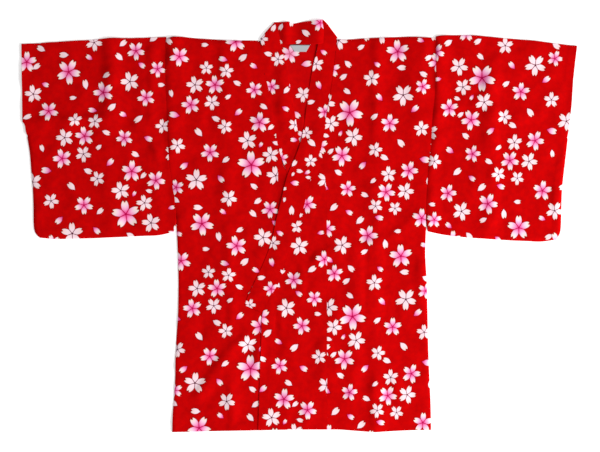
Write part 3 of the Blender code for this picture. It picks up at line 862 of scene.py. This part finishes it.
def blossom_group():
    """Draws one motif: five notched petals round a centre, or one loose petal."""
    tree = bpy.data.node_groups.new("blossom", "ShaderNodeTree")
    tree.interface.new_socket("Motif", in_out="INPUT", socket_type="NodeSocketVector")
    for name, kind in (("Paint", "Color"), ("Cover", "Float"), ("Rim", "Float")):
        tree.interface.new_socket(name, in_out="OUTPUT", socket_type="NodeSocket" + kind)
    n = Nodes(tree)
    x, y, code = n.add("SeparateXYZ", tree.nodes.new("NodeGroupInput").outputs[0]).outputs
    kind = n.math("FLOOR", code)
    chance = n.minus(code, kind)
    loose = n.math("GREATER_THAN", kind, (PINK + WHITE_PETAL) / 2)
    whole = n.minus(1.0, loose)
    pink = n.math("GREATER_THAN", n.math("MODULO", kind, 2.0), 0.5)

    radius = n.math("SQRT", n.math("ADD", n.times(x, x), n.times(y, y)))
    turn = n.math("ARCTAN2", x, y)
    tenth = math.pi / 5
    folded = n.math("WRAP", turn, tenth, -tenth)
    angle = n.math("MULTIPLY_ADD", n.minus(turn, folded), loose, folded)
    along = n.times(radius, n.math("COSINE", angle))
    side = n.times(radius, n.math("SINE", angle))
    across = n.math("ABSOLUTE", side)

    half_width = n.math("MULTIPLY_ADD", loose, LOOSE_WIDER, PETAL_HALF_WIDTH)
    bulge = n.math("DIVIDE", n.minus(along, PETAL_MIDDLE), PETAL_HALF_LENGTH)
    spread = n.math("DIVIDE", across, half_width)
    filled = n.math("ADD", n.math("POWER", bulge, 2.0), n.math("POWER", spread, 2.0))
    oval = n.times(n.minus(1.0, filled), OVAL_SCALE)
    hull = n.math("MAXIMUM", oval, n.minus(ROOT, along))
    wedge = n.minus(n.times(along, math.sin(tenth)), n.times(across, math.cos(tenth)))
    wedge = n.math("ADD", wedge, n.times(whole, -PETAL_GAP))
    off_middle = n.math("MULTIPLY_ADD", chance, *NOTCH_SHIFT)
    notch_side = n.math("ABSOLUTE", n.minus(side, off_middle))
    notch = n.math("MULTIPLY_ADD", notch_side, NOTCH_SLOPE, NOTCH_START)
    notch = n.math("DIVIDE", n.minus(notch, along), NOTCH_SCALE)
    inside = n.math("MINIMUM", n.math("MINIMUM", hull, wedge), notch)

    petal = n.smooth(inside, *PETAL_EDGE)
    core = n.times(n.smooth(radius, *CORE_EDGE), whole)
    near = n.times(n.smooth(along, *INK_REACH), whole)
    near = n.times(near, n.smooth(hull, *INK_EDGE))
    ink = n.math("MAXIMUM", n.times(near, n.minus(1.0, petal)), core)
    cover = n.math("MAXIMUM", petal, ink)
    rim = n.times(n.smooth(inside, *RIM_EDGE), n.minus(1.0, cover))

    tone = n.math("ADD", along, n.times(n.minus(1.0, spread), MIDDLE_LINE))
    white, blush = n.ramp(tone, WHITE_TONES), n.ramp(tone, PINK_TONES)
    paint = n.blend(pink, white, blush)
    paint = n.blend(ink, paint, n.blend(pink, PLUM, MAGENTA))
    out = tree.nodes.new("NodeGroupOutput")
    for socket, value in zip(out.inputs, (paint, cover, rim)):
        tree.links.new(value, socket)
    return tree


def new_material(name):
    """A material and its shader's inputs."""
    material = bpy.data.materials.new(name)
    material.use_nodes = True
    return material, material.node_tree.nodes["Principled BSDF"].inputs


def cotton(name, blossom, ground, bleed, fade):
    """Printed plain-weave cotton, whose ground shows through the print by its bleed."""
    material, shader = new_material(name)
    n = Nodes(material.node_tree)
    cut = n.add("UVMap", uv_map="cut").outputs[0]
    shade = n.add("TexNoise", cut, None, SHADE_SCALE, SHADE_DETAIL).outputs[0]
    colour = n.blend(n.smooth(shade, *SHADE_RANGE), ground, DEEP_RED)
    for layer in ("motif_b", "motif_a"):
        drawn = material.node_tree.nodes.new("ShaderNodeGroup")
        drawn.node_tree = blossom
        n.put(drawn.inputs[0], n.add("Attribute", attribute_name=layer).outputs["Vector"])
        paint, cover, rim = drawn.outputs
        paint = n.blend(fade, paint, FADED)
        colour = n.blend(n.times(rim, RIM_SHARE), colour, DEEP_RED)
        colour = n.blend(n.times(cover, 1.0 - bleed), colour, paint)
    n.put(shader["Base Color"], colour)
    u, v, _ = n.add("SeparateXYZ", cut).outputs
    threads = [n.math("SINE", n.times(way, math.pi / THREAD)) for way in (u, v)]
    bump = n.add("Bump", WEAVE_STRENGTH, WEAVE_DEPTH)
    n.put(bump.inputs["Height"], n.times(*threads))
    n.put(shader["Normal"], bump.outputs[0])
    shader["Roughness"].default_value = COTTON_ROUGHNESS
    shader["Specular IOR Level"].default_value = COTTON_SPECULAR
    return material


def plain(name, colour, roughness):
    material, shader = new_material(name)
    shader["Base Color"].default_value = colour
    shader["Roughness"].default_value = roughness
    return material, shader


def below(y, xy, distance):
    """Distance from a side below a height on the garment, and far above it."""
    return distance + FAR * (xy[..., 1] > y)


def flat_piece(panel, right_side, wrong_side):
    mesh = solid_mesh(panel.node)
    grid = Grid(four_sides(outline(mesh), *panel.corners), panel.hems, panel.joined)
    z = heights(mesh, grid.xy, ABOVE_ALL) - TOP_CLOTH / 2 + relief(grid.xy)
    if panel.node in TUCKED:
        z += tuck(grid.xy)
    for (side, distance), drop in zip(grid.distance.items(), panel.drops):
        if side == panel.armhole:
            z += armhole_drop(grid.xy, distance, drop)
        else:
            z += sewn_drop(distance, drop, FREE_REACH if side in panel.hems else SEWN_REACH)
        z += drop * pucker(grid.xy, distance)
        if side in panel.hems:
            z += hem_rise(distance)
    edge = grid.from_edge(panel.joined)
    if panel.armhole:
        edge = np.minimum(edge, below(ARMHOLE_FOOT_Y, grid.xy, grid.distance[panel.armhole]))
    shell = Shell("cloth_" + panel.node, at_height(grid.xy, z), rounded(edge, TOP_CLOTH))
    shell.paint(cut_of(panel.node, grid.xy))
    shell.dress(panel.node, right_side, wrong_side)


def back_piece(right_side, wrong_side):
    grid = Grid(four_sides(outline(solid_mesh("back")), *BACK_CORNERS))
    z = BACK_CLOTH / 2 + lift(grid.xy, True)
    shell = Shell("cloth_back", at_height(grid.xy, z), rounded(grid.from_edge(), BACK_CLOTH))
    shell.paint(cut_of("back", grid.xy))
    shell.dress("back", wrong_side, right_side)


def sleeve_layers(mesh, sleeve, grid):
    """Middle heights of the upper and lower layers, which meet along the seams and turn level
    towards the fold."""
    xy, wrist, armhole = grid.xy, grid.distance[sleeve.wrist], grid.distance[sleeve.armhole]
    closed = np.minimum(grid.distance["low"], below(WRIST_FOOT_Y, xy, wrist))
    sewn = 1 - ease(closed / SEWN_REACH)
    upper = heights(mesh, xy, ABOVE_ALL) - TOP_CLOTH / 2 + relief(xy) + hem_rise(wrist)
    upper = mix(upper, SEAM_HEIGHT + SEAM_APART, sewn)
    upper += armhole_drop(xy, armhole) + sewn_drop(armhole, SLEEVE_STEP)
    lower = mix(SLEEVE_UNDER_MID + lift(xy), SEAM_HEIGHT - SEAM_APART, sewn)
    level = ease(grid.distance["high"] / SEWN_REACH)
    return mix(upper[-1:], upper, level), mix(lower[-1:], lower, level)


def sleeve_piece(sleeve, right_side, wrong_side):
    mesh = solid_mesh(sleeve.node)
    sides = four_sides(outline(mesh, SLEEVE_TOP_LAYER), *sleeve.corners)
    grid = Grid(sides, sleeve.wrist, sleeve.armhole, SLEEVE_JOIN)
    xy = grid.xy
    upper, lower = sleeve_layers(mesh, sleeve, grid)
    top = xy[-1]
    tangent = np.gradient(top, axis=0)
    tangent /= np.linalg.norm(tangent, axis=1, keepdims=True)
    outward = np.stack([-tangent[:, 1], tangent[:, 0]], axis=1)
    turn = fold(top, outward, upper[-1], lower[-1])
    middle = np.concatenate([at_height(xy, upper), turn, at_height(xy, lower)[::-1]])
    reach = outward * ((upper[-1] - lower[-1]) / 2)[:, None]
    turn_cut = np.stack([top + reach * angle for angle in FOLD_ANGLES])
    cut = np.concatenate([xy, turn_cut, (2 * top + reach * math.pi - xy)[::-1]])
    edge = np.minimum(grid.distance[sleeve.wrist], grid.distance["low"])
    edge = np.minimum(edge, below(ARMHOLE_FOOT_Y, xy, grid.distance[sleeve.armhole]))
    edge = np.concatenate([edge, np.repeat(edge[-1:], len(turn), axis=0), edge[::-1]])
    shell = Shell("cloth_" + sleeve.node, middle, rounded(edge, TOP_CLOTH))
    shell.paint(cut_of(sleeve.node, cut))
    shell.dress(sleeve.node, right_side, wrong_side)


def band_rows(points, length, across):
    """A grid along the collar's band and across it, from its sewn to its free side."""
    points, shares = np.array(points), grid_lines(length)
    seam, free = curve(points[:, :2], shares)[:, None], curve(points[:, 2:], shares)[:, None]
    return mix(seam, free, across[None, :, None])


def band_fold(low, high):
    """Rows down the diagonal fold at one side of the neck, from the arm's last row to the neck's."""
    line = high[:, :2]
    run = line[-1] - line[0]
    outward = np.array([run[1], -run[0]]) / np.linalg.norm(run) * np.sign(line[0, 0])
    return fold(line, outward, high[:, 2], low[:, 2])


def neck_wrinkles(xy, across):
    """The collar's folds behind the neck, level at both ends."""
    x = xy[..., 0]
    height = sum(h * np.exp(-(((x - at) / reach) ** 2)) for at, reach, h in NECK_WRINKLES)
    height = np.maximum(height + NECK_TILT * (1 - across), 0)
    return height * ease((NECK_HALF - abs(x)) / NECK_FADE)


def band_thickness(across):
    return mix(BAND_SEWN_CLOTH, BAND_FREE_CLOTH, across) + BAND_CROWN * np.sin(np.pi * across)


def arm_heights(mesh, xy, start, across):
    """Middle heights of one of the collar's arms, which lies on the back inside the neck."""
    low = heights(mesh, xy, start) - BAND_SOLID
    y = xy[..., 1]
    inside = ease((y - OPEN_LOW_Y) / OPEN_BLEND - 1 + across)
    inside *= ease((OPEN_HIGH_Y - y) / OPEN_HIGH_BLEND)
    return mix(low, OPEN_BOTTOM, inside) + band_thickness(across) / 2 + relief(xy)


def right_arm(mesh, across):
    xy = band_rows(RIGHT_ARM, ARM_LENGTH, across)
    start = np.where(xy[..., 1] < COVERED_Y, UNDER_LEFT_ARM, ABOVE_ALL)
    return at_height(xy, arm_heights(mesh, xy, start, across) + tuck(xy))


def left_arm(mesh, across):
    xy = band_rows(LEFT_ARM, ARM_LENGTH, across)
    y = xy[..., 1]
    z = arm_heights(mesh, xy, ABOVE_ALL, across) - FREE_DROP * across**2 * ease(-y / OPEN_BLEND)
    crossing = np.clip(1 - ((y - CROSSING_Y) / CROSSING_LENGTH) ** 2, 0, 1) ** 2
    return at_height(xy, z + (np.interp(y, *zip(*TUCKS)) - CROSSING_DROP * crossing) * across**2)


def collar_piece(cloth):
    mesh = solid_mesh("collar")
    across = grid_lines(BAND_WIDTH)
    across[0] = -BAND_JOIN / BAND_WIDTH
    thickness = band_thickness(across)
    xy = band_rows(NECK, NECK_LENGTH, across)
    neck = at_height(xy, thickness / 2 + neck_wrinkles(xy, across))
    right, left = right_arm(mesh, across), left_arm(mesh, across)
    folds = band_fold(neck[0], right[-1]), band_fold(neck[-1], left[0])[::-1]
    middle = np.concatenate([right, folds[0], neck, folds[1], left])
    run = grid_lines(ARM_LENGTH) * ARM_LENGTH
    run = np.concatenate([run, np.full(len(middle) - 2 * len(run), FAR), ARM_LENGTH - run])
    distance = np.minimum((1 - across) * BAND_WIDTH, run[:, None])
    shell = Shell("cloth_collar", middle, rounded(distance, thickness))
    row_cells = len(across) - 1
    neck_start = (len(right) + len(folds[0])) * row_cells
    neck_end = neck_start + len(neck) * row_cells
    shell.paint(middle[..., :2], [
        (RIGHT_ARM_CHART, None, slice(0, neck_start)),
        (NECK_CHART, None, slice(neck_start, neck_end)),
        (LEFT_ARM_CHART, None, slice(neck_end, None)),
    ])
    shell.dress("collar", cloth, cloth)


def label_piece(material, dark_top):
    grid = Grid(four_sides(outline(solid_mesh("label")), *LABEL_CORNERS))
    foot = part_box("label")[0].z / METRE
    z = np.full(grid.xy.shape[:2], foot + LABEL_CLOTH / 2)
    shell = Shell("label_tape", at_height(grid.xy, z), rounded(grid.from_edge(), LABEL_CLOTH))
    shell.dress("label", material, material)
    shell.mesh.materials.append(dark_top)
    # Faces above this height are black, along the label's upper edge.
    for face in shell.mesh.polygons:
        if face.center.y > LABEL_DARK_TOP_Y * METRE:
            face.material_index = 2


def lights():
    world = bpy.data.worlds.new("studio")
    world.use_nodes = True
    background = world.node_tree.nodes["Background"].inputs
    background["Color"].default_value = DAYLIGHT
    background["Strength"].default_value = WORLD_STRENGTH
    bpy.context.scene.world = world
    light = bpy.data.lights.new("key", "AREA")
    light.size = KEY_SIZE
    light.energy = KEY_POWER
    holder = new_object("key", light)
    holder.location = KEY_PLACE
    holder.rotation_euler = (-Vector(KEY_PLACE)).to_track_quat("-Z", "Y").to_euler()


def floor():
    mesh = bpy.data.meshes.new("floor")
    mesh.from_pydata(FLOOR_CORNERS, [], [(0, 1, 2, 3)])
    paper, shader = plain("floor", PAPER, FLOOR_ROUGHNESS)
    shader["Emission Color"].default_value = PAPER
    shader["Emission Strength"].default_value = FLOOR_GLOW
    mesh.materials.append(paper)
    holder = new_object("floor", mesh)
    holder.location.z = -FLOOR_DEPTH


def camera():
    data = bpy.data.cameras.new("camera")
    data.sensor_width = SENSOR
    data.lens = SENSOR * CAMERA_HEIGHT / VIEW_WIDTH
    holder = new_object("camera", data)
    holder.location = (*VIEW_CENTRE, CAMERA_HEIGHT)
    bpy.context.scene.camera = holder


def main():
    camera()
    lights()
    floor()
    bpy.context.scene.view_settings.view_transform = "Standard"
    blossom = blossom_group()
    right_side = cotton("printed_cotton", blossom, *RIGHT_SIDE)
    wrong_side = cotton("printed_cotton_wrong_side", blossom, *WRONG_SIDE)
    back_piece(right_side, wrong_side)
    for panel in PANELS:
        flat_piece(panel, right_side, wrong_side)
    for sleeve in SLEEVES:
        sleeve_piece(sleeve, right_side, wrong_side)
    collar_piece(right_side)
    tape, _ = plain("label", SILVER, LABEL_ROUGHNESS)
    # Black for the strip along the label's upper edge.
    dark_top, _ = plain("label_dark_top", BLACK, DARK_TOP_ROUGHNESS)
    label_piece(tape, dark_top)


main()
